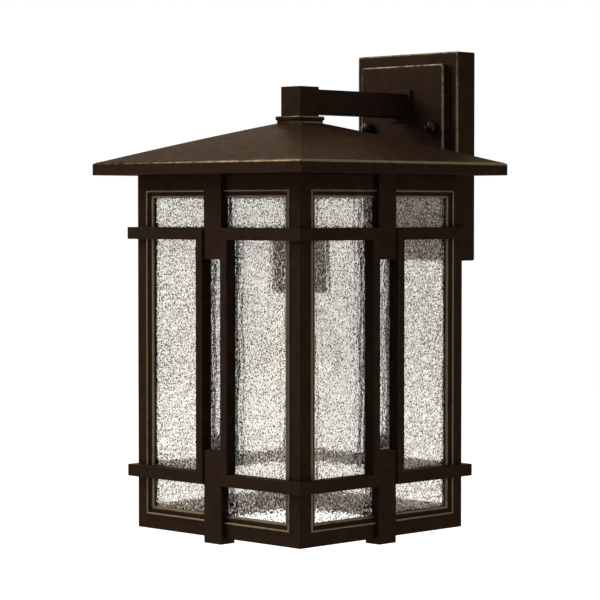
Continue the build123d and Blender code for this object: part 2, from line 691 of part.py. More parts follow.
def all_nodes():
    """Maps each node's name to its solid, or to its list of separate solids."""
    nodes = turned(frame(), SIDES, "frame") | turned(pane(), SIDES, "glass")
    nodes |= turned(upper_strap(), SIDES, "upper_strap") | turned(lower_strap(), SIDES, "lower_strap")
    nodes |= turned(cage(), CORNERS, "cage")
    lantern = {
        "corner_blocks": corner_blocks(), "corner_screws": corner_screws(),
        "strap_screws": strap_screws(), "body_screws": body_screws(),
        "roof": roof(), "soffit_pan": soffit_pan(), "hub_collar": hub_collar(),
        "hub_block": hub_block(), "nipple": nipple(), "pan_washer": tube_washer(soffit),
        "pan_nut": tube_nut(soffit - WASHER_THICKNESS), "cup_nut": tube_nut(porcelain_top),
        "socket_cup": socket_cup(), "socket_body": socket_body(), "socket_shell": socket_shell(),
        "socket_contact": socket_contact(), "bulb_glass": bulb_glass(), "bulb_base": bulb_base(),
        "bulb_contact": bulb_contact(), "bulb_stem": bulb_stem(), "bulb_supports": bulb_supports(),
        "bulb_filament": bulb_filament(),
    }
    nodes |= {name: hung(pieces) for name, pieces in lantern.items()}
    left, right = stud_places()
    return nodes | {
        "arm": arm(), "arm_flange": arm_flange(), "arm_rod": arm_rod(),
        "arm_rod_washer": arm_rod_washer(), "arm_rod_nut": arm_rod_nut(), "wall_plate": wall_plate(),
        "mounting_bar": mounting_bar(), "mounting_studs": mounting_studs(),
        "stud_lock_nuts": stud_lock_nuts(), "ground_screw": ground_screw(),
        "cap_nut_left": cap_nut(left), "cap_nut_right": cap_nut(right),
        "cap_washer_left": cap_washer(left), "cap_washer_right": cap_washer(right),
        "lead_black": lead(-1), "lead_white": lead(1),
    }


os.makedirs("parts", exist_ok=True)
for node, solids in all_nodes().items():
    shape = Compound(children=solids) if isinstance(solids, list) else solids
    export_step(shape, f"parts/{node}.step")
    print(node, len(shape.solids()), round(shape.volume, 1))
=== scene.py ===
"""Outdoor wall lantern: a square cast lantern under a low hipped roof, on an arm and a wall plate.

Metres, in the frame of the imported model: the origin is the middle of the two box screws on the wall
plane, +Z is up and the room side is -Y.  The sections follow the lantern from the wall outwards and
then down: wall plate, arm, hub, roof, side frames, panes, cage, straps, lamp holder and bulb.
"""

from math import cos, pi, radians, sin, tan, tau

import bmesh
import bpy
import numpy as np
from mathutils import Matrix, Vector


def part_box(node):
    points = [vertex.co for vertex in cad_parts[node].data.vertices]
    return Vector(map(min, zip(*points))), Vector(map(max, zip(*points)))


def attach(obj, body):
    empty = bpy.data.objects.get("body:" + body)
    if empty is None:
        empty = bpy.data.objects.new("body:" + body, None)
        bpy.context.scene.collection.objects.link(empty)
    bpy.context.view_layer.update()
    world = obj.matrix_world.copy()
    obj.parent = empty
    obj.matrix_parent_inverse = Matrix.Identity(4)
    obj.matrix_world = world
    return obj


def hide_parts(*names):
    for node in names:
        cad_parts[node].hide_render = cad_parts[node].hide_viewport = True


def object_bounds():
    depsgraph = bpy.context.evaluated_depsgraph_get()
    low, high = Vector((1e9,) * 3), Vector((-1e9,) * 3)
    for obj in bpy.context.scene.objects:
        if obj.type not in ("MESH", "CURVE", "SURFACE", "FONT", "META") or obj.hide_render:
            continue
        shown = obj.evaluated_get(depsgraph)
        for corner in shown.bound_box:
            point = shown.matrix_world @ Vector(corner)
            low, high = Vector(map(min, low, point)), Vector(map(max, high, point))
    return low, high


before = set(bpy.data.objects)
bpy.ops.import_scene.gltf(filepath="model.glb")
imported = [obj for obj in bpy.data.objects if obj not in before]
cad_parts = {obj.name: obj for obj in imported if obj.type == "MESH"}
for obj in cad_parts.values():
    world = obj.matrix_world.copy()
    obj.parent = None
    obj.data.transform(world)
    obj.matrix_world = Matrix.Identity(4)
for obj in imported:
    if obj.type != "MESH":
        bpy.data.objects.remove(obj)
cad_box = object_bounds()
scene = bpy.context.scene


# ---- camera ----------------------------------------------------------------------------------------
# The lantern is seen from the room, across its near corner and about level with the middle of its
# panes, through a long lens.
roof_low, roof_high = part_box("roof")
AXIS = Vector(((roof_low.x + roof_high.x) / 2, (roof_low.y + roof_high.y) / 2, 0.0))
BODY_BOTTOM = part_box("frame_front")[0].z
CAMERA_TURN = radians(44.93)
CAMERA_PITCH = radians(2.151)
CAMERA_DISTANCE = 1.8594
CAMERA_HEIGHT = 0.2468       # above the bottom of the body
SENSOR_WIDTH = 36.0          # mm
FOCAL_LENGTH = 143.46        # mm
CLIP_START, CLIP_END = 0.05, 60.0

camera = bpy.data.objects.new("camera", bpy.data.cameras.new("camera"))
camera.data.sensor_width = SENSOR_WIDTH
camera.data.lens = FOCAL_LENGTH
camera.data.clip_start, camera.data.clip_end = CLIP_START, CLIP_END
stand = Vector((sin(CAMERA_TURN), -cos(CAMERA_TURN), 0.0)) * CAMERA_DISTANCE
stand.z = BODY_BOTTOM + CAMERA_HEIGHT
camera.matrix_world = (Matrix.Translation(AXIS + stand) @ Matrix.Rotation(CAMERA_TURN, 4, "Z")
                       @ Matrix.Rotation(pi / 2 - CAMERA_PITCH, 4, "X"))
scene.collection.objects.link(camera)
scene.camera = camera
scene.view_settings.view_transform = "Standard"


# ---- room ------------------------------------------------------------------------------------------
# A white studio: a pale floor well below the lantern, a large soft lamp high on the left, weak ones
# behind it and on the right, and an even white surround that gloss and glass show as it is.
FLOOR_DROP = 0.75
FLOOR_REACH = 9.0
FLOOR_COLOUR = (0.86, 0.86, 0.86, 1.0)
FLOOR_GLOW = 0.75            # emission of the floor for the rays that see it directly
SURROUND_LIGHT = 0.50        # share of the white surround that lights the surfaces
LAMPS = {"key_lamp": (-56, 41, 2.4, 2.0, 115.0), "rim_lamp": (-131, 20, 2.6, 1.2, 11.0),
         "fill_lamp": (95, 18, 3.0, 1.6, 1.0)}      # degrees round and up, metres away, side, watts


def seen_directly(nodes, links):
    """Light Path's camera, glossy and transmission rays, added up and clamped to 1."""
    path = nodes.new("ShaderNodeLightPath")
    total = path.outputs["Is Camera Ray"]
    for name in ("Is Glossy Ray", "Is Transmission Ray"):
        step = nodes.new("ShaderNodeMath")
        step.operation, step.use_clamp = "ADD", True
        links.new(total, step.inputs[0])
        links.new(path.outputs[name], step.inputs[1])
        total = step.outputs[0]
    return total


def white_surround():
    """World of full white for the rays that see it, and of a part of that for diffuse light."""
    world = bpy.data.worlds.new("surround")
    scene.world = world
    world.use_nodes = True
    nodes, links = world.node_tree.nodes, world.node_tree.links
    nodes.clear()
    strength = nodes.new("ShaderNodeMapRange")
    strength.inputs["To Min"].default_value = SURROUND_LIGHT
    strength.inputs["To Max"].default_value = 1.0
    links.new(seen_directly(nodes, links), strength.inputs["Value"])
    light = nodes.new("ShaderNodeBackground")
    light.inputs["Color"].default_value = (1.0, 1.0, 1.0, 1.0)
    links.new(strength.outputs["Result"], light.inputs["Strength"])
    links.new(light.outputs[0], nodes.new("ShaderNodeOutputWorld").inputs["Surface"])


def floor_paint():
    """Matt pale paint that glows a little for direct rays, so that only the shadow reads as grey."""
    material = bpy.data.materials.new("floor_paint")
    material.use_nodes = True
    nodes, links = material.node_tree.nodes, material.node_tree.links
    shader = nodes["Principled BSDF"]
    shader.inputs["Base Color"].default_value = FLOOR_COLOUR
    shader.inputs["Roughness"].default_value = 0.9
    shader.inputs["Emission Color"].default_value = (1.0, 1.0, 1.0, 1.0)
    glow = nodes.new("ShaderNodeMath")
    glow.operation = "MULTIPLY"
    glow.inputs[1].default_value = FLOOR_GLOW
    links.new(seen_directly(nodes, links), glow.inputs[0])
    links.new(glow.outputs[0], shader.inputs["Emission Strength"])
    return material


def soft_lamp(name, turn, lift, distance, size, power):
    """Square area lamp aimed at the middle of the body, a distance away from it.

    Its place is turned round the upright axis from the front and lifted above the level."""
    turn, lift = radians(turn), radians(lift)
    lamp = bpy.data.objects.new(name, bpy.data.lights.new(name, "AREA"))
    lamp.data.size = size
    lamp.data.energy = power
    away = Vector((sin(turn) * cos(lift), -cos(turn) * cos(lift), sin(lift)))
    target = AXIS + Vector((0.0, 0.0, BODY_BOTTOM / 2))
    place = target + away * distance
    lamp.matrix_world = Matrix.Translation(place) @ away.to_track_quat("Z", "Y").to_matrix().to_4x4()
    scene.collection.objects.link(lamp)


white_surround()
floor_level = cad_box[0].z - FLOOR_DROP
corners = [(x * FLOOR_REACH, y * FLOOR_REACH, floor_level)
           for x, y in ((-1, -1), (1, -1), (1, 1), (-1, 1))]
floor_mesh = bpy.data.meshes.new("floor")
floor_mesh.from_pydata(corners, [], [(0, 1, 2, 3)])
floor_mesh.materials.append(floor_paint())
floor = bpy.data.objects.new("floor", floor_mesh)
scene.collection.objects.link(floor)
for lamp_name, lamp_values in LAMPS.items():
    soft_lamp(lamp_name, *lamp_values)


# ---- wall plate ------------------------------------------------------------------------------------
# Die-cast aluminium box, open towards the wall, with a raised panel.  It is painted oil-rubbed
# bronze, and the edges of plate and panel are rubbed by hand to old gold.
PLATE_FIELD = 0.0214         # depth of the field round the raised panel
PLATE_WALL = 0.0022
PANEL_MARGIN = 0.0096
PANEL_FILLET = 0.0006        # slope at the panel's foot
RIM_EDGE = 0.0004            # broken edge of the rim at the wall
PLATE_EDGE = 0.0009          # radius of the rubbed edges
PLATE_CORNER = 0.0016
PANEL_CORNER = 0.0026
LEAST_CORNER = 0.0006
RUB_PAINTED_LIGHT_LEFT, RUB_PAINTED_LIGHT_RIGHT, RUB_PAINTED_LIGHT_TOP = 0.80, 1.50, 0.52     # gold on each side's edges: rub, raised on the shaded right and lowered on the lit top as painted light
RUB_TOP_FROM = 0.0700        # above the plate's middle
BRONZE = (0.0197, 0.0120, 0.0080)
BRONZE_DEEP = (0.0122, 0.0070, 0.0048)
BRONZE_EDGE = (0.60, 0.50, 0.42)      # the dark patina keeps its tone at a grazing view
# Old gold of the rubbed edges, also laid on as painted highlights and painted light.
GOLD_RUB_AND_SHEEN = (0.1180, 0.0930, 0.0550)
BRONZE_CLOUDS, BRONZE_GRAIN = (120.0, 3.0, 0.7), (900.0, 2.0, 0.7)     # scale, detail, roughness
RUB_PATCHES = (150.0, 3.0, 0.6)
CLOUD_LOW, CLOUD_HIGH = 0.3, 0.7      # noise factors between which clouds fade from one to the other
SHARP_ANGLE = radians(38)    # between faces, from which an edge is drawn sharp
EDGE_STEPS = 3               # of a round edge


def noise(nodes, links, vector, scale, detail=2.0, roughness=0.5):
    """Noise texture of a scale in waves per metre; gives its factor socket."""
    texture = nodes.new("ShaderNodeTexNoise")
    texture.inputs["Scale"].default_value = scale
    texture.inputs["Detail"].default_value = detail
    texture.inputs["Roughness"].default_value = roughness
    links.new(vector, texture.inputs["Vector"])
    return texture.outputs["Fac"]


def ranged(nodes, links, value, low, high, to_low=0.0, to_high=1.0):
    """Map Range of a value from one span to another, clamped."""
    step = nodes.new("ShaderNodeMapRange")
    limits = {"From Min": low, "From Max": high, "To Min": to_low, "To Max": to_high}
    for name, number in limits.items():
        step.inputs[name].default_value = number
    links.new(value, step.inputs["Value"])
    return step.outputs["Result"]


def blended(nodes, links, factor, first, second):
    """Mix of two colours, each an RGB triple or a socket, by a factor socket."""
    mix = nodes.new("ShaderNodeMix")
    mix.data_type = "RGBA"
    links.new(factor, mix.inputs["Factor"])
    for socket, colour in ((mix.inputs["A"], first), (mix.inputs["B"], second)):
        if isinstance(colour, tuple):
            socket.default_value = (*colour, 1.0)
        else:
            links.new(colour, socket)
    return mix.outputs["Result"]


def calculated(nodes, links, operation, first, second):
    """Math node of two values, each a number or a socket."""
    step = nodes.new("ShaderNodeMath")
    step.operation = operation
    for socket, value in zip(step.inputs, (first, second)):
        if isinstance(value, (int, float)):
            socket.default_value = value
        else:
            links.new(value, socket)
    return step.outputs[0]


def new_finish(name):
    """Material with a Principled shader; gives it, its nodes, links, shader and object coordinates."""
    material = bpy.data.materials.new(name)
    material.use_nodes = True
    nodes, links = material.node_tree.nodes, material.node_tree.links
    place = nodes.new("ShaderNodeTexCoord").outputs["Object"]
    return material, nodes, links, nodes["Principled BSDF"], place


def bumped(nodes, links, shader, height, strength, distance):
    """Bump of a height socket on a shader's normal; distance in metres."""
    bump = nodes.new("ShaderNodeBump")
    bump.inputs["Strength"].default_value = strength
    bump.inputs["Distance"].default_value = distance
    links.new(height, bump.inputs["Height"])
    links.new(bump.outputs["Normal"], shader.inputs["Normal"])


def bronze_finish(name, dull, bright, lacquer):
    """Mottled satin bronze; a point attribute lays old gold over it, broken up by noise: worn edges,
    and on some pieces also painted highlights and gold strengthened in shade as painted light.

    Its roughness goes from dull to bright with the clouds; lacquer is the level of the clear gloss."""
    material, nodes, links, shader, place = new_finish(name)
    cloud = noise(nodes, links, place, *BRONZE_CLOUDS)
    grain = noise(nodes, links, place, *BRONZE_GRAIN)
    tone = calculated(nodes, links, "ADD",
                      ranged(nodes, links, cloud, CLOUD_LOW, CLOUD_HIGH, 0.0, 0.7),
                      ranged(nodes, links, grain, CLOUD_LOW, CLOUD_HIGH, 0.0, 0.3))
    bronze = blended(nodes, links, tone, BRONZE_DEEP, BRONZE)
    worn_and_sheen = nodes.new("ShaderNodeAttribute")
    worn_and_sheen.attribute_name = "rub_and_sheen"
    patch = ranged(nodes, links, noise(nodes, links, place, *RUB_PATCHES), 0.35, 0.62, 0.60, 1.05)
    gold = ranged(nodes, links, calculated(nodes, links, "MULTIPLY", worn_and_sheen.outputs["Fac"], patch),
                  0.30, 0.70)
    links.new(blended(nodes, links, gold, bronze, GOLD_RUB_AND_SHEEN), shader.inputs["Base Color"])
    links.new(ranged(nodes, links, cloud, CLOUD_LOW, CLOUD_HIGH, dull, bright),
              shader.inputs["Roughness"])
    links.new(ranged(nodes, links, gold, 0.0, 1.0, 0.40, 0.75), shader.inputs["Metallic"])
    shader.inputs["Specular IOR Level"].default_value = lacquer
    shader.inputs["Specular Tint"].default_value = (*BRONZE_EDGE, 1.0)
    bumped(nodes, links, shader, grain, 0.35, 0.00012)
    return material


def net(rows, columns, rows_close=False, columns_close=False):
    """Quads between neighbours of a grid of points, row by row; a closed way joins last to first."""
    r = np.arange(rows if rows_close else rows - 1)[:, None]
    c = np.arange(columns if columns_close else columns - 1)[None, :]
    r1, c1 = (r + 1) % rows, (c + 1) % columns
    corners = (r * columns + c, r * columns + c1, r1 * columns + c1, r1 * columns + c)
    return np.stack(np.broadcast_arrays(*corners), -1).reshape(-1, 4).tolist()


def piece(name, points, faces, finish, slot, body, *nodes, rub_and_sheen=None):
    """Mesh object from points and faces that stands for CAD nodes and rides on a body.

    Doubles are merged and faces turned outwards; edges over the sharp angle stay sharp and the
    rest is shaded smooth with normals weighted by face area, so flat faces stay flat."""
    mesh = bpy.data.meshes.new(name)
    mesh.from_pydata(np.asarray(points, float).reshape(-1, 3), [], faces)
    if rub_and_sheen is not None:
        worn_and_sheen = mesh.attributes.new("rub_and_sheen", "FLOAT", "POINT")
        worn_and_sheen.data.foreach_set("value", np.asarray(rub_and_sheen, np.float32).ravel())
    work = bmesh.new()
    work.from_mesh(mesh)
    bmesh.ops.remove_doubles(work, verts=work.verts, dist=1e-6)
    bmesh.ops.recalc_face_normals(work, faces=work.faces)
    work.to_mesh(mesh)
    work.free()
    mesh.shade_smooth()
    mesh.set_sharp_from_angle(angle=SHARP_ANGLE)
    mesh.materials.append(finish)
    made = bpy.data.objects.new(name, mesh)
    scene.collection.objects.link(made)
    weighted = made.modifiers.new("weighted_normals", "WEIGHTED_NORMAL")
    weighted.keep_sharp = True
    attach(made, body)
    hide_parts(*nodes)


def corner_rings(half_a, half_b, corner, steps=4):
    """Rings round rectangles with round corners, one ring for each entry of the three arrays.

    A ring's point at quarter q and angle t is the corner's centre, (half - corner) with the signs of
    quarter q, plus corner * (cos t, sin t).  Each corner has steps + 1 points."""
    quarter = np.repeat(np.arange(4), steps + 1)
    angle = quarter * pi / 2 + np.tile(np.linspace(0, pi / 2, steps + 1), 4)
    side_a = np.sign(np.cos(quarter * pi / 2 + pi / 4))
    side_b = np.sign(np.sin(quarter * pi / 2 + pi / 4))
    half_a, half_b, corner = (np.asarray(x, float)[:, None] for x in (half_a, half_b, corner))
    return ((half_a - corner) * side_a + corner * np.cos(angle),
            (half_b - corner) * side_b + corner * np.sin(angle))


def round_edge(inset, depth, radius, rub_and_sheen):
    """Round edge about its centre as (inset, depth, rub) points, from the top to the outline.

    The centre plus radius * (cos t, sin t), for t from a quarter to half a turn."""
    angles = pi / 2 + np.linspace(0, pi / 2, EDGE_STEPS + 1)
    return [(inset + radius * cos(t), depth + radius * sin(t), rub_and_sheen) for t in angles]


def plate_profile(panel):
    """Section of the wall plate from the panel's middle out to the rim and back inside.

    Each point is (inset from the outline, depth in front of the wall, rub).  The panel stands at
    the given depth; the rub grows to full just before each round edge and ends just past it."""
    r = PLATE_EDGE
    inner = PANEL_MARGIN + PLATE_WALL
    return [(PANEL_MARGIN + 2.3 * r, panel, 0.0), (PANEL_MARGIN + 1.8 * r, panel, 0.55),
            (PANEL_MARGIN + 1.3 * r, panel, 1.1),
            *round_edge(PANEL_MARGIN + r, panel - r, r, 1.2),
            (PANEL_MARGIN, panel - 1.6 * r, 0.0),
            (PANEL_MARGIN, PLATE_FIELD + PANEL_FILLET, 0.0),
            (PANEL_MARGIN - PANEL_FILLET, PLATE_FIELD, 0.0),
            (2.2 * r, PLATE_FIELD, 0.0), (1.7 * r, PLATE_FIELD, 0.55), (1.3 * r, PLATE_FIELD, 1.0),
            *round_edge(r, PLATE_FIELD - r, r, 1.1),
            (0.0, PLATE_FIELD - 1.7 * r, 0.0), (0.0, RIM_EDGE, 0.0), (RIM_EDGE, 0.0, 0.0),
            (PLATE_WALL, 0.0, 0.0), (PLATE_WALL, PLATE_FIELD - PLATE_WALL, 0.0),
            (inner, PLATE_FIELD - PLATE_WALL, 0.0), (inner, panel - PLATE_WALL, 0.0)]


def capped(rows, columns):
    """Faces of a grid whose rows are closed rings, with a flat cap on the first and last ring."""
    last = (rows - 1) * columns
    caps = [list(range(columns)), list(range(last, last + columns))]
    return net(rows, columns, columns_close=True) + caps


bronze = bronze_finish("oil_rubbed_bronze", dull=0.52, bright=0.44, lacquer=0.0)
plate_low, plate_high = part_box("wall_plate")
inset, depth, rub_and_sheen = np.array(plate_profile(plate_high.y - plate_low.y)).T
plate_middle = (plate_low + plate_high) / 2
ring_corner = np.where(inset < PANEL_MARGIN / 2, PLATE_CORNER - 0.5 * inset,
                       PANEL_CORNER - 0.5 * (inset - PANEL_MARGIN))
x, z = corner_rings((plate_high.x - plate_low.x) / 2 - inset, (plate_high.z - plate_low.z) / 2 - inset,
                    np.clip(ring_corner, LEAST_CORNER, None))
y = plate_high.y - np.broadcast_to(depth[:, None], x.shape)
plate_points = np.stack((plate_middle.x + x, y, plate_middle.z + z), -1)
# Painted light: the edges' gold is strengthened on the right side, which the lamps leave in shade, and
# weakened on the lit top.
plate_rub_and_painted_light = rub_and_sheen[:, None] * np.where(z > RUB_TOP_FROM, RUB_PAINTED_LIGHT_TOP, np.where(x > 0, RUB_PAINTED_LIGHT_RIGHT, RUB_PAINTED_LIGHT_LEFT))
piece("wall_plate_cast", plate_points, capped(*x.shape), bronze, "bronze", "lantern", "wall_plate",
      rub_and_sheen=plate_rub_and_painted_light)


# ---- studs, cap nuts and crossbar ------------------------------------------------------------------
# Two slotted cap nuts hold the plate on studs that stand out of a zinc-plated crossbar behind it.
# The nuts are turned from bar and lacquered; their washers are painted with the plate.
ZINC_TONES = ((0.40, 0.40, 0.38), (0.58, 0.58, 0.60))


def zinc_finish():
    """Zinc plate on steel: metallic grey in soft clouds, with fine drawn lines in its roughness."""
    material, nodes, links, shader, place = new_finish("zinc_plated_steel")
    cloud = noise(nodes, links, place, 120.0, 3.0, 0.6)
    way = ranged(nodes, links, cloud, CLOUD_LOW, CLOUD_HIGH)
    links.new(blended(nodes, links, way, *ZINC_TONES), shader.inputs["Base Color"])
    lines = noise(nodes, links, place, 700.0)
    links.new(ranged(nodes, links, lines, CLOUD_LOW, CLOUD_HIGH, 0.30, 0.46),
              shader.inputs["Roughness"])
    shader.inputs["Metallic"].default_value = 1.0
    bumped(nodes, links, shader, cloud, 0.15, 0.0001)
    return material


def dressed(finish, *nodes):
    """Gives CAD nodes whose shape is right a finish on their own material slots."""
    for name in nodes:
        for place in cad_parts[name].material_slots:
            place.material = finish


zinc = zinc_finish()
lacquered = bronze_finish("lacquered_bronze", dull=0.24, bright=0.16, lacquer=0.22)
dressed(lacquered, "cap_nut_left", "cap_nut_right")
dressed(bronze, "cap_washer_left", "cap_washer_right")
dressed(zinc, "mounting_bar", "mounting_studs", "stud_lock_nuts")


# ---- earth screw -----------------------------------------------------------------------------------
# Hexagon-headed steel screw for the bare earth wire, passivated green so that it is told from the
# others.  It is driven into a tapped hole of the crossbar.
GREEN_TONES = ((0.03, 0.16, 0.06), (0.07, 0.30, 0.12))


def clouded_finish(name, clouds, tones, roughness, metallic=0.0, coat=0.0, relief=0.0,
                   start=CLOUD_LOW):
    """Material whose colour goes from a first to a second tone in soft clouds.

    Clouds are a noise's scale, detail and perhaps roughness.  Its factor from start to CLOUD_HIGH
    is the way from first to second, also of a pair of roughnesses.  Relief is in metres."""
    material, nodes, links, shader, place = new_finish(name)
    way = ranged(nodes, links, noise(nodes, links, place, *clouds), start, CLOUD_HIGH)
    links.new(blended(nodes, links, way, *tones), shader.inputs["Base Color"])
    if isinstance(roughness, tuple):
        links.new(ranged(nodes, links, way, 0.0, 1.0, *roughness), shader.inputs["Roughness"])
    else:
        shader.inputs["Roughness"].default_value = roughness
    shader.inputs["Metallic"].default_value = metallic
    shader.inputs["Coat Weight"].default_value = coat
    if relief:
        bumped(nodes, links, shader, way, 0.1, relief)
    return material


green = clouded_finish("green_passivated_steel", (300.0, 3.0), GREEN_TONES, (0.32, 0.45), metallic=0.8)
dressed(green, "ground_screw")


# ---- leads -----------------------------------------------------------------------------------------
# Black and white insulated leads through the hollow rod and nipple, from the junction box to the
# lamp holder.  Their plastic insulation is slightly glossy.
INSULATION_TONES = {"black": ((0.012, 0.012, 0.012), (0.024, 0.024, 0.025)),
                    "white": ((0.62, 0.61, 0.57), (0.76, 0.75, 0.71))}

for colour, tones in INSULATION_TONES.items():
    dressed(clouded_finish(f"{colour}_insulation", (260.0, 3.0), tones, 0.4, relief=0.0001),
            f"lead_{colour}")


# ---- arm and flange --------------------------------------------------------------------------------
# Rectangular aluminium tube between the hub block and a thin flange on the wall plate.  A hollow
# threaded rod inside it draws all three together against a washer and nut behind the plate.
ARM_EDGE = 0.0009
ARM_END_EDGE = 0.0002
FLANGE_CORNER = 0.0008
FLANGE_EDGE = 0.0004


def edge_steps(radius):
    """Insets and rises of a round edge, from face to side: radius * (1 - sin a, 1 - cos a)."""
    angles = np.linspace(0, pi / 2, EDGE_STEPS + 1)
    return radius * (1 - np.sin(angles)), radius * (1 - np.cos(angles))


def block_rings(low, high, corner, edge, axis):
    """Rings of a rectangular block along one axis, with round corners and round end edges."""
    inward, rise = edge_steps(edge)
    inset = np.concatenate((inward, inward[::-1]))
    along = np.concatenate((low[axis] + rise, high[axis] - rise[::-1]))
    across = [k for k in range(3) if k != axis]
    half = [(high[k] - low[k]) / 2 - inset for k in across]
    a, b = corner_rings(*half, np.full_like(inset, corner) - inset * 0.5)
    points = np.empty((*a.shape, 3))
    points[..., axis] = along[:, None]
    for k, ring in zip(across, (a, b)):
        points[..., k] = (high[k] + low[k]) / 2 + ring
    return points


arm = block_rings(*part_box("arm"), ARM_EDGE, ARM_END_EDGE, 1)
piece("arm_tube", arm, capped(*arm.shape[:2]), bronze, "bronze", "lantern", "arm")
flange = block_rings(*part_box("arm_flange"), FLANGE_CORNER, FLANGE_EDGE, 1)
piece("arm_flange_plate", flange, capped(*flange.shape[:2]), bronze, "bronze", "lantern", "arm_flange")
dressed(zinc, "arm_rod", "arm_rod_washer", "arm_rod_nut")


# ---- hub block and collar --------------------------------------------------------------------------
# Cast block that turns the wiring down into the lantern, on a square stepped collar.  The collar's
# lip and the foot of its step are rubbed to gold, more on the shaded side as painted light, and the
# block's upright corners carry a painted highlight line.
BLOCK_EDGE = 0.0006
CORNER_HIGHLIGHT = 0.62            # painted highlight line, on the middle one of each corner's five points
COLLAR_STEP = 0.0008
COLLAR_STEP_HEIGHT = 0.0023
COLLAR_CORNER = 0.0006
STEP_EDGE_IN, STEP_EDGE_UP = 0.0002, 0.0003
FOOT_RUB_FADES, FOOT_RUB_ENDS = 0.0009, 0.0013      # heights above the roof
LIP_EDGE = 0.0007
COLLAR_RUB = 0.92


def side_painted_light(x, y, half):
    """Share of the gold kept round a square piece: 0.88 plus 0.28 (x + y) / half; painted light, more
    gold on the right and back that the lamps leave in shade and less on the lit front and left.
    """
    return 0.88 + 0.28 * (x + y) / half


block = block_rings(*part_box("hub_block"), BLOCK_EDGE, BLOCK_EDGE, 2)
# Painted highlight: a faint gold line down the block's upright corners, where light catches the
# rounded edges.
corner_highlight = np.zeros(block.shape[:2])
corner_highlight[:, 2::5] = CORNER_HIGHLIGHT
piece("hub_block_cast", block, capped(*block.shape[:2]), bronze, "bronze", "lantern", "hub_block",
      rub_and_sheen=corner_highlight)
collar_low, collar_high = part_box("hub_collar")
collar_half = (collar_high.x - collar_low.x) / 2
shoulder = collar_low.z + COLLAR_STEP_HEIGHT
collar_profile = [(COLLAR_STEP, collar_low.z, 1.0), (COLLAR_STEP, collar_low.z + FOOT_RUB_FADES, 0.7),
                  (COLLAR_STEP, collar_low.z + FOOT_RUB_ENDS, 0.0), (COLLAR_STEP, shoulder, 0.0),
                  (STEP_EDGE_IN, shoulder, 0.0), (0.0, shoulder + STEP_EDGE_UP, 0.0),
                  (0.0, collar_high.z - 2.0 * LIP_EDGE, 0.0),
                  *reversed(round_edge(LIP_EDGE, collar_high.z - LIP_EDGE, LIP_EDGE, 0.9)),
                  (1.3 * LIP_EDGE, collar_high.z, 0.0), (3.0 * LIP_EDGE, collar_high.z, 0.0)]
inset, level, rub_and_sheen = np.array(collar_profile).T
x, y = corner_rings(collar_half - inset, collar_half - inset, np.full_like(inset, COLLAR_CORNER))
collar = np.stack((AXIS.x + x, AXIS.y + y, np.broadcast_to(level[:, None], x.shape)), -1)
# Painted light: the collar's gold is stronger on the right and back, which the lamps leave in shade.
piece("hub_collar_cast", collar, capped(*x.shape), bronze, "bronze", "lantern", "hub_collar",
      rub_and_sheen=COLLAR_RUB * rub_and_sheen[:, None] * side_painted_light(x, y, collar_half))
dressed(zinc, "nipple")


# ---- roof and soffit pan ---------------------------------------------------------------------------
# One aluminium casting: four slightly bowed slopes over an upright fascia, hollow below.  The eave
# edge is rubbed to gold, more on the shaded side as painted light, and a painted highlight runs
# down each rounded hip.  A flat sheet pan closes it and carries the four side frames.
ROOF_CROWN = 0.0128
ROOF_BULGE = 0.0007
FASCIA_HEIGHT = 0.0090
FASCIA_WALL = 0.0030
ROOF_WALL = 0.0025
UNDER_EAVE = 0.0012          # the slope's inside ends this far below the eave
FOOT_EDGE = 0.0004
PAN_LEDGE = 0.0025           # shelf inside the fascia that the pan bears on
HIP_CORNER = 0.0013
HIP_POINTS = 4               # of a ring on each corner
HIP_HIGHLIGHT = 0.42               # painted highlight down the hips, on the middle two of them
EAVE_EDGE = 0.0007
EAVE_RISE = 0.0002           # the slope ends this far above the round edge
EAVE_WEAR = ((3.6, 0.0008, 0.0), (2.6, 0.0005, 0.5), (1.4, 0.0001, 1.0))    # inset in edges, rise, rub
SLOPE_POINTS = 14


def slope(out_from, out_to, z_from, z_to):
    """Bowed line from crown to eave as half widths and levels: straight, plus bulge * 4t(1 - t)."""
    t = np.linspace(0, 1, SLOPE_POINTS)
    return (out_from + (out_to - out_from) * t,
            z_from + (z_to - z_from) * t + ROOF_BULGE * 4 * t * (1 - t))


roof_half = (roof_high.x - roof_low.x) / 2
eave = roof_low.z + FASCIA_HEIGHT
out, level = slope(ROOF_CROWN, roof_half - EAVE_EDGE, roof_high.z, eave + EAVE_RISE)
pan_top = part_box("soffit_pan")[1].z
room = roof_half - FASCIA_WALL
under_out, under_level = slope(ROOF_CROWN, room - PAN_LEDGE,
                               roof_high.z - ROOF_WALL, eave - UNDER_EAVE)
roof_profile = ([(o, l, 0.0) for o, l in zip(out[:-1], level[:-1])]
                + [(roof_half - edges * EAVE_EDGE, eave + EAVE_RISE + rise, worn_and_sheen)
                   for edges, rise, worn_and_sheen in EAVE_WEAR]
                + [(roof_half - EAVE_EDGE * (1 - sin(t)), eave - EAVE_EDGE * (1 - cos(t)), 1.0)
                   for t in np.linspace(0.2, pi / 2, 4)]
                + [(roof_half, eave - 1.5 * EAVE_EDGE, 0.8), (roof_half, eave - 2.3 * EAVE_EDGE, 0.0),
                   (roof_half, roof_low.z + FOOT_EDGE, 0.0), (roof_half - FOOT_EDGE, roof_low.z, 0.0),
                   (room, roof_low.z, 0.0), (room, pan_top, 0.0), (room - PAN_LEDGE, pan_top, 0.0)]
                + [(o, l, 0.0) for o, l in zip(under_out[::-1], under_level[::-1])])
half, level, rub_and_sheen = np.array(roof_profile).T
x, y = corner_rings(half, half, np.full_like(half, HIP_CORNER), HIP_POINTS - 1)
roof = np.stack((AXIS.x + x, AXIS.y + y, np.broadcast_to(level[:, None], x.shape)), -1)
foot = int(np.argmax(level <= roof_low.z))
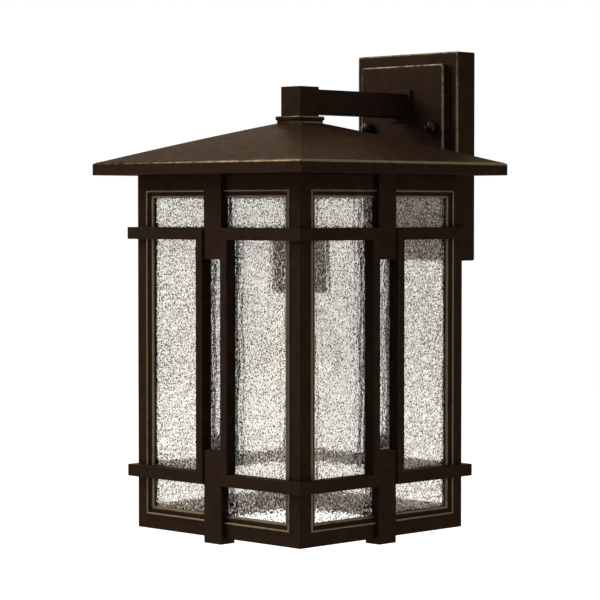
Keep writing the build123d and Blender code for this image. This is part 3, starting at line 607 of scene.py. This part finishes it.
# Painted highlight down each rounded hip to the foot of the fascia; the eave's gold, stronger on the
# shaded right and back, is painted light.
hip_highlight = np.zeros_like(x)
hip_highlight[:foot, 1::HIP_POINTS] = hip_highlight[:foot, 2::HIP_POINTS] = HIP_HIGHLIGHT
piece("roof_cast", roof, capped(*x.shape), bronze, "bronze", "lantern", "roof",
      rub_and_sheen=np.maximum(rub_and_sheen[:, None] * side_painted_light(x, y, roof_half), hip_highlight))
dressed(bronze, "soffit_pan")
dressed(zinc, "body_screws", "pan_washer", "pan_nut")


# ---- side frames -----------------------------------------------------------------------------------
# Four cast frames, mitred at the corners of the body.  Flat stiles and rails surround a raised
# bead, a ledge and the lip that holds the pane; the bead and the lip's edge are rubbed to gold.
STILE = 0.0109
TOP_RAIL = 0.0118
BOTTOM_RAIL = 0.0113
BEAD = 0.0013                # width and stand of the raised bead
LEDGE = 0.0046
LEDGE_DROP = 0.0008
LEDGE_FALL = 0.0004          # at the bead the ledge is this much above its drop, at the lip below
LIP_BACK = 0.0040
FRAME_DEPTH = 0.0070
POCKET = 0.0053              # pane's pocket behind the lip
BODY_EDGE = 0.0005
LIP_ROUND = 0.0006
HAIR = 0.0001                # a point right beside an edge, which keeps the faces by it flat
BEAD_RUB_ENDS = 0.0012       # on the flat beside the bead
LEDGE_RUB_ENDS = 0.0009      # on the ledge beside it
LEDGE_DIP = 0.0002
LIP_RUB, LIP_RUB_ENDS = 0.0008, 0.0013              # before the lip's round edge
LIP_SIDE_RUB, LIP_SIDE_RUB_ENDS = 0.0009, 0.0015    # past it, down the lip's side
BODY_HALF = (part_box("frame_right")[1].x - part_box("frame_left")[0].x) / 2 - BEAD
BODY_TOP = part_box("frame_front")[1].z
SIDES = {"front": 0, "right": 1, "back": 2, "left": 3}


def frame_profile():
    """Section of a frame as (share of the stile or rail, extra inset, stand, rub), closed.

    It runs over the rounded outer edge, the flat stile, the half-round bead, the ledge and the
    rounded lip, back to the pane's pocket and along the rear to the mitre."""
    r = BODY_EDGE
    outer = [(0.0, r * (1 - sin(t)), -r * (1 - cos(t)), 0.0) for t in np.linspace(pi / 2, 0, 4)]
    bead = [(1.0, BEAD / 2 * (1 - cos(t)), BEAD * (0.35 + 0.65 * sin(t)), 1.0)
            for t in np.linspace(0, pi, 7)]
    lip = LEDGE + BEAD
    q = LIP_ROUND
    outer_drop, inner = LEDGE_DROP - LEDGE_FALL, LEDGE_DROP + LEDGE_FALL
    lip_edge = [(1.0, lip - q * (1 - sin(t)), -inner - q * (1 - cos(t)), 1.0)
                for t in np.linspace(0, pi / 2, 4)]
    back = [(1.0, lip, -inner - q - LIP_SIDE_RUB, 0.9),
            (1.0, lip, -inner - q - LIP_SIDE_RUB_ENDS, 0.0),
            (1.0, lip, -LIP_BACK, 0.0), (1.0, lip - POCKET, -LIP_BACK, 0.0),
            (1.0, lip - POCKET, -FRAME_DEPTH, 0.0), (0.0, 0.0, -FRAME_DEPTH, 0.0)]
    return (outer + [(1.0, -BEAD_RUB_ENDS, 0.0, 0.0), (1.0, -HAIR, 0.0, 0.6)] + bead
            + [(1.0, BEAD + HAIR, -outer_drop, 0.3),
               (1.0, BEAD + LEDGE_RUB_ENDS, -outer_drop - LEDGE_DIP, 0.0),
               (1.0, lip - q - LIP_RUB_ENDS, -inner + LEDGE_DIP, 0.0),
               (1.0, lip - q - LIP_RUB, -inner, 0.8), (1.0, lip - q - HAIR, -inner, 1.0)]
            + lip_edge + back)


def turned(points, quarter):
    """Points given from the lantern's axis, turned about it by quarter turns and put in the frame."""
    c, s = (1, 0, -1, 0)[quarter], (0, 1, 0, -1)[quarter]
    x, y = points[..., 0], points[..., 1]
    return np.stack((AXIS.x + c * x - s * y, AXIS.y + s * x + c * y, points[..., 2]), -1)


def frame_points():
    """The section carried round the window: its four corners, each a row of points.

    A stile's inset is held at least as large as the depth, which gives the mitre at the corner."""
    share, extra, stand, rub_and_sheen = np.array(frame_profile()).T
    across = BODY_HALF - np.maximum(share * STILE + extra, -stand)
    low = BODY_BOTTOM + share * BOTTOM_RAIL + extra
    high = BODY_TOP - share * TOP_RAIL - extra
    y = -BODY_HALF - stand
    rows = [np.stack((side * across, y, level), -1)
            for side, level in ((-1, low), (1, low), (1, high), (-1, high))]
    return np.stack(rows), np.tile(rub_and_sheen, (4, 1))


frame_front, frame_rub = frame_points()
for name, quarter in SIDES.items():
    piece(f"side_frame_{name}", turned(frame_front, quarter), net(*frame_rub.shape, True, True),
          bronze, "bronze", "lantern", f"frame_{name}", rub_and_sheen=frame_rub)
dressed(zinc, "strap_screws", "corner_screws")
dressed(bronze, "corner_blocks")


# ---- panes -----------------------------------------------------------------------------------------
# Four panes of clear seeded glass, 3 mm thick, held behind the lips of the frames.  The sheet is
# full of fine seeds and gently wavy, more upright than across, from the way it was drawn.
PANE_ROWS, PANE_COLUMNS = 100, 260
WAVE = 0.00002               # height of the broader reams on the front
BACK_WAVE = 0.6              # share of the front's waves that the back has
WAVE_FADE = 0.004            # width at the pane's edges over which the waves die out
REAMS = ((0.0061, 1.0, 1.1, 0.083), (0.0037, 0.7, 0.8, 0.047))    # width, share, sway, sway's length
PANE_PHASE = 1.3             # shift of the sways from one pane to the next
SEED_CELLS = 600.0           # in a metre
RIPPLES, REAM_BUMPS, GLINTS = 540.0, 420.0, 860.0       # scales of the noises, waves in a metre
SEED_SQUASH, REAM_SQUASH, GLINT_SQUASH = 0.85, 0.12, 0.60       # the less, the taller a pattern
SEED_EDGE = (0.300, 0.317)   # a seed ends here, in cells from the cell's centre
SEED_DARK = (0.012, 0.008, 0.005)
GLASS_CLEAR = (1.00, 0.993, 0.970)
GLASS_GLINT = (1.00, 0.96, 0.88)
GLASS_GLOSS = (0.80, 0.58, 0.42)      # tint of the reflections
GLINT_CLEARNESS = 0.62       # transmission of a glint


def stretched(nodes, links, vector, upright):
    """The vector with its z multiplied, so that a pattern on it grows 1 / upright times as tall."""
    mapping = nodes.new("ShaderNodeMapping")
    mapping.inputs["Scale"].default_value = (1.0, 1.0, upright)
    links.new(vector, mapping.inputs["Vector"])
    return mapping.outputs[0]


def seeded_glass():
    """Clear glass full of seeds: a seed, where the nearest cell centre is close, darkens the view.

    Cells are about 1.7 mm wide and a little taller.  Pale glints lie between them, and a bump of
    fine noise and upright reams bends what is seen through the pane."""
    material, nodes, links, shader, place = new_finish("seeded_glass")
    seed_place = stretched(nodes, links, place, SEED_SQUASH)
    ripples = noise(nodes, links, seed_place, RIPPLES, 0.0)
    bubbles = nodes.new("ShaderNodeTexVoronoi")
    bubbles.inputs["Scale"].default_value = SEED_CELLS
    links.new(seed_place, bubbles.inputs["Vector"])
    clear = ranged(nodes, links, bubbles.outputs["Distance"], *SEED_EDGE)
    streaks = noise(nodes, links, stretched(nodes, links, place, GLINT_SQUASH), GLINTS, 0.0)
    glint = ranged(nodes, links, streaks, 0.58, 0.63)
    links.new(ranged(nodes, links, glint, 0.0, 1.0, 1.0, GLINT_CLEARNESS),
              shader.inputs["Transmission Weight"])
    tone = blended(nodes, links, glint, GLASS_CLEAR, GLASS_GLINT)
    links.new(blended(nodes, links, clear, SEED_DARK, tone), shader.inputs["Base Color"])
    reams = noise(nodes, links, stretched(nodes, links, place, REAM_SQUASH), REAM_BUMPS)
    reams = calculated(nodes, links, "MULTIPLY", reams, 1.5)
    bumped(nodes, links, shader, calculated(nodes, links, "ADD", ripples, reams), 0.13, 0.0004)
    shader.inputs["Specular Tint"].default_value = (*GLASS_GLOSS, 1.0)
    shader.inputs["Roughness"].default_value = 0.0
    shader.inputs["IOR"].default_value = 1.45
    return material


def pane_points(low, high, phase):
    """Pane of the front face: two sheets, moved out by the sum of the reams, which sway as they rise.

    A ream is share * sin(u tau / width + sway * sin(v tau / length + phase))."""
    u, v = np.meshgrid(np.linspace(low.x, high.x, PANE_COLUMNS), np.linspace(low.z, high.z, PANE_ROWS))
    ream = sum(share * np.sin(u * tau / width + sway * np.sin(v * tau / length + k * phase))
               for k, (width, share, sway, length) in enumerate(REAMS, 1))
    edge = np.minimum.reduce((u - low.x, high.x - u, v - low.z, high.z - v))
    wave = WAVE * ream * np.clip(edge / WAVE_FADE, 0, 1)
    front = np.stack((u, np.full_like(u, low.y) + wave - AXIS.y, v), -1)
    back = np.stack((u, np.full_like(u, high.y) - BACK_WAVE * wave - AXIS.y, v), -1)
    return np.stack((front, back))


def pane_faces():
    """Faces of the two sheets and of the four ground edges between them."""
    rows, columns = PANE_ROWS, PANE_COLUMNS
    one = np.array(net(rows, columns))
    index = np.arange(rows * columns).reshape(rows, columns)
    rim = np.concatenate((index[0], index[1:, -1], index[-1, -2::-1], index[-2:0:-1, 0]))
    ahead = np.roll(rim, -1)
    edges = np.stack((rim, ahead, ahead + rows * columns, rim + rows * columns), -1)
    return np.concatenate((one, one + rows * columns, edges)).tolist()


glass = seeded_glass()
for name, quarter in SIDES.items():
    pane = pane_points(*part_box("glass_front"), PANE_PHASE * quarter)
    piece(f"seeded_pane_{name}", turned(pane, quarter), pane_faces(), glass, "seeded_glass", "lantern",
          f"glass_{name}")


# ---- cage corners ----------------------------------------------------------------------------------
# Four corner units of flat bar, each two bands and two bars folded round a corner of the body.  They
# stand in front of the glass, are fitted over the beads and are screwed on from inside.
CAGE_STAND = 0.0056
GLASS_GAP = 0.0005           # bars and straps clear of the pane
BAND_HEIGHT = 0.0093
BAR_WIDTH = 0.0073
STRAP_WIDTH = 0.0191
STRAP_SIDE_GAP = 0.0002
RELIEF = 0.00015             # clear of the bead and the ledge
BAR_EDGE = 0.0005
LEDGE_IN = STILE + BEAD + LEDGE
glass_back = -LIP_BACK + GLASS_GAP
ledge_top, ledge_foot = RELIEF - LEDGE_DROP + LEDGE_FALL, RELIEF - LEDGE_DROP - LEDGE_FALL


def cage_points(low, high):
    """The bar's section carried round the unfolded unit: bar, upper band, fold, bar, lower band.

    Along a band the back steps in over the bead and the ledge; at the fold a point's place along
    the face is the body's half width plus its own stand, which gives the mitred fold."""
    r = BAR_EDGE
    arc = [(r * (1 - sin(t)), CAGE_STAND - r * (1 - cos(t))) for t in np.linspace(pi / 2, 0, 4)]
    share = np.array([0.0] * 5 + [1.0] * 5)
    extra = np.array([0.0] + [i for i, _ in arc] + [-i for i, _ in arc[::-1]] + [0.0])
    front = np.array([h for _, h in arc] + [h for _, h in arc[::-1]])
    bar = STRAP_WIDTH / 2 + STRAP_SIDE_GAP
    steps = [(BODY_HALF - LEDGE_IN - RELIEF, glass_back),
             (BODY_HALF - LEDGE_IN - RELIEF, ledge_foot),
             (BODY_HALF - STILE - BEAD - RELIEF, ledge_top),
             (BODY_HALF - STILE - BEAD - RELIEF, BEAD + RELIEF),
             (BODY_HALF - STILE + RELIEF, BEAD + RELIEF), (BODY_HALF - STILE + RELIEF, 0.0)]

    def section(back):
        """Stands of the section's points for one depth of its back."""
        return np.concatenate(([back], front, [back]))

    def half(levels, mirrored):
        """One folded half: the bar's end, then the steps along its band up to the fold."""
        rows = [(bar + share * BAR_WIDTH + extra, section(glass_back), levels)]
        rows += [(np.full_like(share, place), section(back), levels) for place, back in steps]
        stand = section(0.0)
        rows.append((BODY_HALF + stand, stand, levels))
        points = [np.stack((u, -(BODY_HALF + n), z), -1) for u, n, z in rows]
        if mirrored:
            points = [np.stack((-p[:, 1], -p[:, 0], p[:, 2]), -1) for p in points[:-1]]
        return points

    bottom = low + share * BAND_HEIGHT + extra
    top = high - share * BAND_HEIGHT - extra
    return np.stack(half(bottom, False) + half(bottom, True)[::-1]
                    + half(top, True) + half(top, False)[::-1])


band_low, band_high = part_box("cage_front_right")
cage = cage_points(band_low.z, band_high.z)
for quarter, name in enumerate(("front_right", "back_right", "back_left", "front_left")):
    piece(f"cage_corner_{name}", turned(cage, quarter), net(*cage.shape[:2], True, True), bronze,
          "bronze", "lantern", f"cage_{name}")


# ---- straps ----------------------------------------------------------------------------------------
# Cast upright straps in the middle of each side: a short one from the soffit over the top rail, and
# one over the bottom rail with a foot that turns in under it.  Each is screwed to its rail.
STRAP_STAND = 0.0040
FOOT_REACH = 0.0100
STRAP_EDGE = 0.0005


def drawn_in(outline, inset):
    """Closed outline moved inwards: each corner goes along the sum of its two edges' normals."""
    ahead = np.roll(outline, -1, 0) - outline
    ahead /= np.linalg.norm(ahead, axis=1, keepdims=True)
    before = np.roll(ahead, 1, 0)
    normal = np.stack((-ahead[:, 1], ahead[:, 0]), -1)
    normal_before = np.stack((-before[:, 1], before[:, 0]), -1)
    lean = 1 + (normal * normal_before).sum(1, keepdims=True)
    return outline + inset * (normal + normal_before) / lean


def strap_points(outline):
    """Strap of an upright outline of (stand, level), anticlockwise, between its two side edges."""
    inset, rise = edge_steps(STRAP_EDGE)
    half = STRAP_WIDTH / 2
    rows = []
    for x, move in list(zip(-half + rise, inset)) + list(zip(half - rise[::-1], inset[::-1])):
        ring = drawn_in(outline, move)
        rows.append(np.stack((np.full(len(ring), x), -BODY_HALF - ring[:, 0], ring[:, 1]), -1))
    return np.stack(rows)


low, high = (p.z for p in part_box("upper_strap_front"))
rail = BODY_TOP - TOP_RAIL
upper_strap = strap_points(np.array([
    (STRAP_STAND, low), (STRAP_STAND, high), (0.0, high), (0.0, rail + RELIEF),
    (BEAD + RELIEF, rail + RELIEF), (BEAD + RELIEF, rail - BEAD - RELIEF),
    (ledge_top, rail - BEAD - RELIEF), (ledge_foot, rail - BEAD - LEDGE - RELIEF),
    (glass_back, rail - BEAD - LEDGE - RELIEF), (glass_back, low)]))
low, high = (p.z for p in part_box("lower_strap_front"))
rail = BODY_BOTTOM + BOTTOM_RAIL
lower_strap = strap_points(np.array([
    (STRAP_STAND, low), (STRAP_STAND, high), (glass_back, high),
    (glass_back, rail + BEAD + LEDGE + RELIEF), (ledge_foot, rail + BEAD + LEDGE + RELIEF),
    (ledge_top, rail + BEAD + RELIEF), (BEAD + RELIEF, rail + BEAD + RELIEF),
    (BEAD + RELIEF, rail - RELIEF), (0.0, rail - RELIEF),
    (0.0, BODY_BOTTOM), (-FOOT_REACH, BODY_BOTTOM), (-FOOT_REACH, low)]))
for name, quarter in SIDES.items():
    for which, points in (("upper", upper_strap), ("lower", lower_strap)):
        piece(f"{which}_strap_cast_{name}", turned(points, quarter), capped(*points.shape[:2]), bronze,
              "bronze", "lantern", f"{which}_strap_{name}")


# ---- lamp holder -----------------------------------------------------------------------------------
# Spun cup that hangs from the nipple, painted with the body, round a glazed porcelain holder with a
# brass screw shell and a centre contact.
CUP_WALL = 0.0012
CUP_SHOULDER = 0.0030
CUP_HOLE_R = 0.0053
CUP_RIM, CUP_INNER_RIM = 0.0004, 0.0003      # broken edges of the cup's rim
ROUND = 72                   # points of a circle
GLAZE_TONES = ((0.74, 0.71, 0.64), (0.82, 0.80, 0.75))      # white with faint cream clouds
BRASS_TONES = ((0.72, 0.48, 0.17), (0.40, 0.25, 0.09))      # bright, and tarnished and duller


def spun(outline):
    """Surface of revolution about the lantern's axis: (r cos a, r sin a, z) for each (r, z)."""
    radius, level = np.array(outline).T
    angle = np.linspace(0, tau, ROUND, endpoint=False)
    x = AXIS.x + radius[:, None] * np.cos(angle)
    y = AXIS.y + radius[:, None] * np.sin(angle)
    return np.stack((x, y, np.broadcast_to(level[:, None], x.shape)), -1)


cup_low, cup_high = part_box("socket_cup")
cup_r = (cup_high.x - cup_low.x) / 2
shoulder = [(cup_r - CUP_SHOULDER * (1 - sin(t)), cup_high.z - CUP_SHOULDER * (1 - cos(t)))
            for t in np.linspace(0, pi / 2, 6)]
bore = cup_r - CUP_WALL
cup = spun([(CUP_HOLE_R, cup_high.z), *shoulder, (cup_r, cup_low.z + CUP_RIM),
            (cup_r - CUP_RIM, cup_low.z), (bore + CUP_INNER_RIM, cup_low.z),
            (bore, cup_low.z + CUP_INNER_RIM), (bore, cup_high.z - CUP_SHOULDER),
            (bore - CUP_SHOULDER + CUP_WALL, cup_high.z - CUP_WALL),
            (CUP_HOLE_R, cup_high.z - CUP_WALL)])
piece("socket_cup_spun", cup, net(*cup.shape[:2], True, True), bronze, "bronze", "lantern",
      "socket_cup")
porcelain = clouded_finish("glazed_porcelain", (90.0, 3.0), GLAZE_TONES, 0.22, coat=0.5,
                           relief=0.0002)
brass = clouded_finish("tarnished_brass", (220.0, 4.0, 0.6), BRASS_TONES, (0.24, 0.45), metallic=1.0,
                       start=0.35)
dressed(porcelain, "socket_body")
dressed(brass, "socket_shell", "socket_contact")
dressed(zinc, "cup_nut")


# ---- bulb ------------------------------------------------------------------------------------------
# Clear A19 lamp: a blown envelope on a rolled-thread aluminium base, with a drawn stem, two support
# wires and a bowed filament inside.  It unscrews downwards.
BULB_WALL = 0.0008
BULB_SHOULDER = radians(35)  # the ball ends this far above its middle
BALL_POINTS, THROAT_POINTS = 26, 14
NECK_R = 0.0123
THREAD_PITCH = 0.003629
THREAD_DEPTH = 0.0004
THREAD_START, THREAD_END = 0.0015, 0.0035    # plain lengths at the base's rim and at its tip
THREAD_FADE = 0.0020
THREAD_ROWS = 97
TIP_LENGTH, TIP_DRAW = 0.0025, 0.0030        # the tip's length and how far it draws in
BASE_WALL = 0.0005
BASE_HOLE_R, BASE_HOLE_EDGE_R, BASE_HOLE_DEPTH = 0.0098, 0.0095, 0.0006
CAVITY_TOP, CAVITY_RIM = 0.0034, 0.0036      # the cavity's straight part ends this far inside
RIM_WALL, RIM_DEPTH = 0.0004, 0.0010
BASE_TONES = ((0.52, 0.51, 0.50), (0.70, 0.69, 0.67))       # rolled aluminium, dull and bright
WIRE_TONES = ((0.10, 0.095, 0.09), (0.22, 0.21, 0.20))      # tungsten and nickel
LAMP_GLASS_TONES = ((0.97, 0.96, 0.94), (1.0, 0.995, 0.98))
INSULATOR_TONES = ((0.006, 0.006, 0.008), (0.022, 0.020, 0.024))    # black glass with grey swirls


def clear_glass():
    """Thin clear lamp glass, faintly warm, with soft waves from blowing."""
    material, nodes, links, shader, place = new_finish("lamp_glass")
    cloud = ranged(nodes, links, noise(nodes, links, place, 60.0), CLOUD_LOW, CLOUD_HIGH)
    links.new(blended(nodes, links, cloud, *LAMP_GLASS_TONES), shader.inputs["Base Color"])
    shader.inputs["Roughness"].default_value = 0.0
    shader.inputs["IOR"].default_value = 1.5
    shader.inputs["Specular Tint"].default_value = (0.20, 0.20, 0.20, 1.0)
    shader.inputs["Transmission Weight"].default_value = 1.0
    bumped(nodes, links, shader, cloud, 0.1, 0.0003)
    return material


def envelope(inset, centre, rim, top):
    """Half outline of the envelope from its tip up to the neck's end, as (r, z) points.

    A ball of radius R runs to the shoulder angle; from there r falls to the neck by a smooth cubic
    that leaves the ball along its tangent and meets the neck upright."""
    ball, neck = bulb_r - inset, NECK_R - inset
    angles = np.linspace(-pi / 2, BULB_SHOULDER, BALL_POINTS)
    r0, z0 = ball * cos(BULB_SHOULDER), centre + ball * sin(BULB_SHOULDER)
    t = np.linspace(0, 1, THROAT_POINTS)[1:]
    rise = rim - z0
    away = -tan(BULB_SHOULDER) * rise
    h = (2 * t**3 - 3 * t**2 + 1, t**3 - 2 * t**2 + t, -2 * t**3 + 3 * t**2)
    throat_r = h[0] * r0 + h[1] * away + h[2] * neck
    throat = list(zip(throat_r, z0 + rise * t))
    return ([(max(ball * cos(a), 1e-5), centre + ball * sin(a)) for a in angles] + throat
            + [(neck, top)])


glass_low, glass_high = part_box("bulb_glass")
base_low, base_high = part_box("bulb_base")
bulb_r = (glass_high.x - glass_low.x) / 2
centre = glass_low.z + bulb_r
outside = envelope(0.0, centre, base_low.z, glass_high.z)
inside = envelope(BULB_WALL, centre, base_low.z, glass_high.z)
envelope_points = spun(outside + inside[::-1])
lamp_glass = clear_glass()
piece("bulb_envelope", envelope_points, net(*envelope_points.shape[:2], columns_close=True),
      lamp_glass, "bulb_glass", "bulb", "bulb_glass")


def thread_points(low, high, outer):
    """Rolled thread: r = outer - depth * (1 - cos(2 pi z / pitch - a)) / 2, fading out at both ends.

    At the tip r draws in by the square of the way along it."""
    angle = np.linspace(0, tau, ROUND, endpoint=False)
    level = np.linspace(low, high, THREAD_ROWS)[:, None]
    plain = np.minimum(level - low - THREAD_START, high - THREAD_END - level)
    fade = np.clip(plain / THREAD_FADE, 0, 1)
    r = outer - THREAD_DEPTH * fade * (1 - np.cos(level * tau / THREAD_PITCH - angle)) / 2
    r = r - TIP_DRAW * np.clip((level - high + TIP_LENGTH) / TIP_LENGTH, 0, 1) ** 2
    return np.stack((AXIS.x + r * np.cos(angle), AXIS.y + r * np.sin(angle),
                     np.broadcast_to(level, r.shape)), -1)


base_r = (base_high.x - base_low.x) / 2
cavity_r = base_r - BASE_WALL - THREAD_DEPTH
cavity = spun([(BASE_HOLE_R, base_high.z), (BASE_HOLE_EDGE_R, base_high.z - BASE_HOLE_DEPTH),
               (cavity_r, base_high.z - CAVITY_TOP), (cavity_r, base_low.z + CAVITY_RIM),
               (base_r - RIM_WALL, base_low.z + RIM_DEPTH), (base_r - RIM_WALL, base_low.z)])
base = np.concatenate((thread_points(base_low.z, base_high.z, base_r), cavity))
aluminium = clouded_finish("lamp_base_aluminium", (350.0, 3.0), BASE_TONES, (0.38, 0.28),
                           metallic=1.0)
piece("bulb_base_threaded", base, net(*base.shape[:2], True, True), aluminium, "lamp_base", "bulb",
      "bulb_base")
insulator = clouded_finish("black_vitrite", (400.0, 4.0, 0.7), INSULATOR_TONES, 0.18)
wire = clouded_finish("filament_wire", (900.0, 2.0), WIRE_TONES, 0.4, metallic=0.9)
dressed(insulator, "bulb_contact")
dressed(lamp_glass, "bulb_stem")
dressed(wire, "bulb_supports", "bulb_filament")
